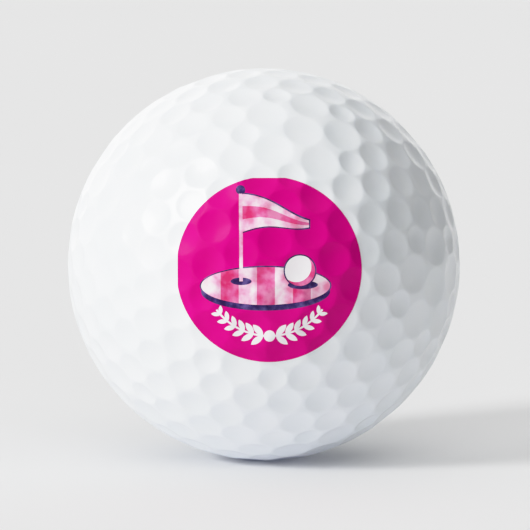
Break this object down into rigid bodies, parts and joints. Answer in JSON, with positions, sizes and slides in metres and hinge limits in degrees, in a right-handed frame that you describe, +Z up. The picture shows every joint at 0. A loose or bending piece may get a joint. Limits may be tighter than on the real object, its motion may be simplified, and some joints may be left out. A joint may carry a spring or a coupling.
{
  "type": "golf ball",
  "caption": "Golf ball of core, mantle and dimpled cover, with a round five-ink print on its front.",
  "frame": {"origin": "middle of the ball", "axes": "+Z up as the ball lies; the print faces -Y, turned up 5 degrees from level; +X to the right of the print"},
  "size_m": [0.0426, 0.0427, 0.0426],
  "materials": {
    "core_rubber": "matt moulded rubber",
    "mantle_ionomer": "satin moulded ionomer",
    "cover_urethane": "white urethane under a clear gloss coat",
    "ink_magenta": "printed ink under the clear coat",
    "ink_pale_pink": "printed ink under the clear coat",
    "ink_rose": "printed ink under the clear coat",
    "ink_navy": "printed ink under the clear coat",
    "ink_white": "printed ink under the clear coat"
  },
  "bodies": {
    "root": {"core": "core_rubber", "mantle": "mantle_ionomer", "cover": "cover_urethane", "magenta_ink": "ink_magenta", "pale_pink_ink": "ink_pale_pink", "rose_ink": "ink_rose", "navy_ink": "ink_navy", "white_ink": "ink_white"}
  },
  "joints": []
}
